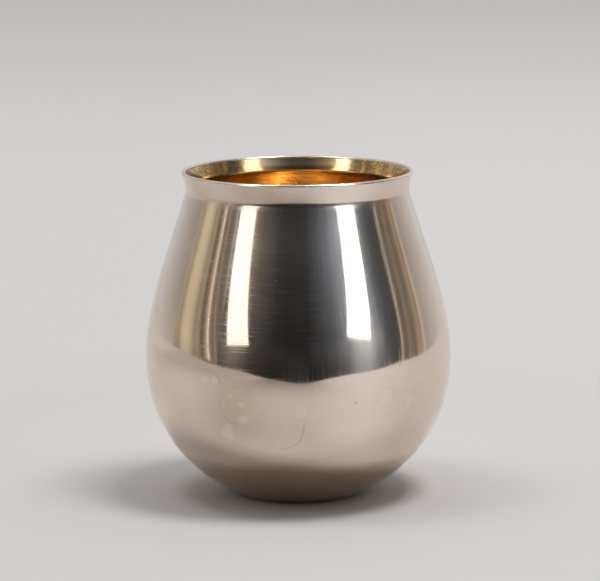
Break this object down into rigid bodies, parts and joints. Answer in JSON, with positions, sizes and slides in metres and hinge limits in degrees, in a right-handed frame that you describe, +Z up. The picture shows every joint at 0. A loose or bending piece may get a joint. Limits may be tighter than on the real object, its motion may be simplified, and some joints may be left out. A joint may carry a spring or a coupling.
{
  "type": "silver beaker",
  "caption": "Pot-bellied silver beaker with a turned-out lip, a wire rim, a flat standing ring and a gilt inside, for drinking or as a small vase.",
  "frame": {"origin": "on the table, under the middle of the base", "axes": "+Z up along the beaker's axis, from the base to the mouth; the beaker is round, so X and Y are any two level directions at right angles, and -Y is the side the picture shows"},
  "size_m": [0.08, 0.08, 0.085],
  "materials": {
    "silver": "polished silver with fine scratches and a little tarnish",
    "rim_silver": "bright silver, rubbed by use",
    "solder": "dull silver solder",
    "gilt": "gilt silver with a mottled patina, worn near the rim"
  },
  "bodies": {
    "root": {"body_shell": "silver", "gilt_lining": "gilt", "rim_solder_seam": "solder", "rim_wire": "rim_silver"}
  },
  "joints": []
}
